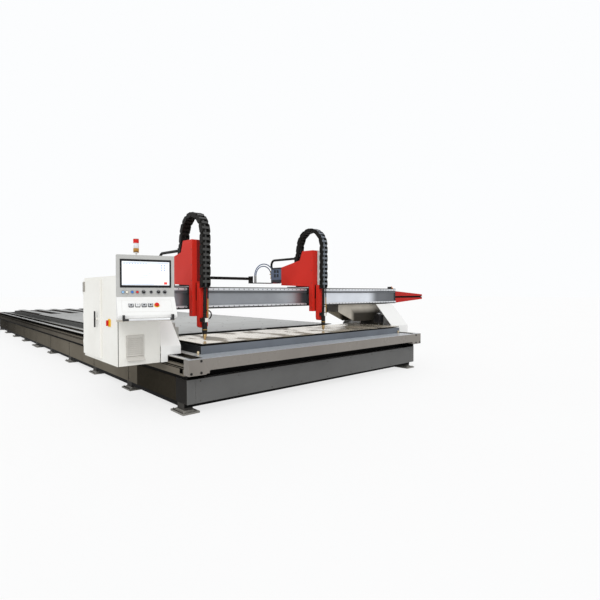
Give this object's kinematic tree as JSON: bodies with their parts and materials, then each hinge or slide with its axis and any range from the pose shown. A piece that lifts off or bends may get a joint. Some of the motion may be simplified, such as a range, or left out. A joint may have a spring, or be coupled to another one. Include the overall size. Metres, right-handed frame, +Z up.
{
  "type": "cnc plasma cutting table",
  "caption": "Long gantry plasma cutting table: framed plate bed on feet, rail-guided bridge with torch stations, drag chains, side cabinet and swivelling operator head.",
  "frame": {"origin": "on the floor, in the middle of the machine's outline seen from above", "axes": "+X across the table to the right of someone at the front, +Y along the table from the front to the rear, +Z up"},
  "size_m": [6.4074, 14.055, 2.2899],
  "materials": {
    "foot_paint": "dark grey paint, satin",
    "frame_dark": "black paint, matt",
    "side_panel": "brown-grey paint, satin",
    "end_panel": "dark grey paint, satin",
    "channel_paint": "warm grey paint, satin",
    "rail_steel": "ground steel",
    "bed_paint": "blue-grey paint, satin",
    "slat_steel": "mill scale",
    "front_sheet": "bright sheet",
    "deck_sheet": "grey sheet, satin",
    "bridge_paint": "silver paint, satin",
    "guide_strip": "ground bright steel",
    "bracket_black": "black paint, matt",
    "chain_black": "black moulded plastic",
    "red_paint": "red paint, satin",
    "frame_paint": "warm grey paint, satin",
    "cover_white": "white paint, satin",
    "fitting_grey": "light grey paint, satin",
    "stack_plastic": "grey base with coloured lenses",
    "handle_metal": "plated",
    "isolator_red": "red moulded plastic",
    "head_plastic": "light grey, fine texture",
    "screen_face": "dark border round a lit panel",
    "keypad_plastic": "white, fine texture",
    "black_plastic": "black, satin",
    "lamp_lens": "coloured lenses",
    "estop_red": "red moulded plastic",
    "key_grey": "grey moulded plastic",
    "box_blue": "blue-grey paint, satin",
    "torch_black": "black body, bright nozzle",
    "lead_sleeve": "sleeved hose"
  },
  "bodies": {
    "table": {"foot_plates": "foot_paint", "leg_columns": "frame_dark", "side_beams": "frame_dark", "cross_members": "frame_dark", "side_panels": "side_panel", "end_panels": "end_panel", "end_channels": "channel_paint", "side_channels": "channel_paint", "guide_rails": "rail_steel", "gear_racks": "rail_steel", "bed_walls": "bed_paint", "slats": "slat_steel", "front_deck": "front_sheet", "deck_sheets": "deck_sheet"},
    "bridge": {"bridge_beam": "bridge_paint", "bridge_guides": "guide_strip", "cable_shelf": "bracket_black", "bridge_chain": "chain_black", "cable_arm": "red_paint", "carriage_frames": "frame_paint", "carriage_covers": "cover_white", "bearing_blocks": "rail_steel", "gearmotors": "bracket_black", "cabinet_shell": "cover_white", "cabinet_fittings": "fitting_grey", "stack_light": "stack_plastic"},
    "left_pinion": {"left_pinion": "rail_steel"},
    "right_pinion": {"right_pinion": "rail_steel"},
    "door": {"cabinet_door": "cover_white"},
    "handle": {"door_handle": "handle_metal"},
    "isolator": {"isolator": "isolator_red"},
    "head": {"head_shell": "head_plastic", "screen": "screen_face", "keypad_box": "keypad_plastic", "grab_rail": "black_plastic", "lamp_row": "lamp_lens"},
    "estop": {"estop": "estop_red"},
    "key_1": {"key_1": "key_grey"},
    "key_2": {"key_2": "key_grey"},
    "key_3": {"key_3": "key_grey"},
    "key_4": {"key_4": "key_grey"},
    "override_dial": {"override_dial": "black_plastic"},
    "selector_1": {"selector_1": "black_plastic"},
    "selector_2": {"selector_2": "black_plastic"},
    "station_1": {"saddle_1": "bracket_black", "housing_1": "red_paint", "control_box_1": "box_blue", "rear_loom_1": "chain_black", "drag_chain_1": "chain_black"},
    "lifter_1": {"lifter_slide_1": "red_paint", "torch_1": "torch_black", "torch_leads_1": "lead_sleeve"},
    "station_2": {"saddle_2": "bracket_black", "housing_2": "red_paint", "control_box_2": "box_blue", "rear_loom_2": "chain_black", "drag_chain_2": "chain_black"},
    "lifter_2": {"lifter_slide_2": "red_paint", "torch_2": "torch_black", "torch_leads_2": "lead_sleeve"}
  },
  "joints": [
    {"name": "bridge_travel", "type": "slide", "parent": "table", "child": "bridge", "axis": [0, 1, 0], "range_m": [-0.25, 11.6]},
    {"name": "left_pinion_turn", "type": "hinge", "parent": "bridge", "child": "left_pinion", "pos_m": [-2.40539, -6.2725, 0.545], "axis": [0, 0, 1], "range_deg": [-520, 24020]},
    {"name": "right_pinion_turn", "type": "hinge", "parent": "bridge", "child": "right_pinion", "pos_m": [1.54361, -6.2725, 0.545], "axis": [0, 0, 1], "range_deg": [-24020, 520]},
    {"name": "door_hinge", "type": "hinge", "parent": "bridge", "child": "door", "pos_m": [-3.12339, -5.4045, 1], "axis": [0, 0, -1], "range_deg": [0, 110]},
    {"name": "handle_turn", "type": "hinge", "parent": "door", "child": "handle", "pos_m": [-3.13339, -5.9475, 0.997], "axis": [1, 0, 0], "range_deg": [0, 90]},
    {"name": "isolator_turn", "type": "hinge", "parent": "bridge", "child": "isolator", "pos_m": [-3.11339, -6.2985, 0.971], "axis": [1, 0, 0], "range_deg": [0, 90]},
    {"name": "head_swivel", "type": "hinge", "parent": "bridge", "child": "head", "pos_m": [-2.85839, -6.6185, 1.38], "axis": [0, 0, 1], "range_deg": [-5, 35]},
    {"name": "estop_press", "type": "slide", "parent": "head", "child": "estop", "axis": [0.1961, 0.7319, -0.6525], "range_m": [0, 0.004], "stiffness_N_per_m": 1500, "springref_m": -0.002},
    {"name": "key_1_press", "type": "slide", "parent": "head", "child": "key_1", "axis": [0.1961, 0.7319, -0.6525], "range_m": [0, 0.004], "stiffness_N_per_m": 1500, "springref_m": -0.002},
    {"name": "key_2_press", "type": "slide", "parent": "head", "child": "key_2", "axis": [0.1961, 0.7319, -0.6525], "range_m": [0, 0.004], "stiffness_N_per_m": 1500, "springref_m": -0.002},
    {"name": "key_3_press", "type": "slide", "parent": "head", "child": "key_3", "axis": [0.1961, 0.7319, -0.6525], "range_m": [0, 0.004], "stiffness_N_per_m": 1500, "springref_m": -0.002},
    {"name": "key_4_press", "type": "slide", "parent": "head", "child": "key_4", "axis": [0.1961, 0.7319, -0.6525], "range_m": [0, 0.004], "stiffness_N_per_m": 1500, "springref_m": -0.002},
    {"name": "override_turn", "type": "hinge", "parent": "head", "child": "override_dial", "pos_m": [-2.90842, -6.70862, 1.3], "axis": [-0.2588, -0.9659, 0], "range_deg": [-135, 135]},
    {"name": "selector_1_turn", "type": "hinge", "parent": "head", "child": "selector_1", "pos_m": [-2.76836, -6.74615, 1.3], "axis": [-0.2588, -0.9659, 0], "range_deg": [-45, 45]},
    {"name": "selector_2_turn", "type": "hinge", "parent": "head", "child": "selector_2", "pos_m": [-2.70751, -6.76246, 1.3], "axis": [-0.2588, -0.9659, 0], "range_deg": [-45, 45]},
    {"name": "station_1_travel", "type": "slide", "parent": "bridge", "child": "station_1", "axis": [1, 0, 0], "range_m": [-0.2, 0.8]},
    {"name": "lifter_1_raise", "type": "slide", "parent": "station_1", "child": "lifter_1", "axis": [0, 0, 1], "range_m": [0, 0.25], "deforming": ["drag_chain_1"]},
    {"name": "station_2_travel", "type": "slide", "parent": "bridge", "child": "station_2", "axis": [1, 0, 0], "range_m": [-0.6, 1.35], "deforming": ["bridge_chain"]},
    {"name": "lifter_2_raise", "type": "slide", "parent": "station_2", "child": "lifter_2", "axis": [0, 0, 1], "range_m": [0, 0.25], "deforming": ["drag_chain_2"]}
  ],
  "couplings": [
    {"joint": "left_pinion_turn", "follows": "bridge_travel", "rad_per_m": 36.101},
    {"joint": "right_pinion_turn", "follows": "bridge_travel", "rad_per_m": -36.101}
  ]
}
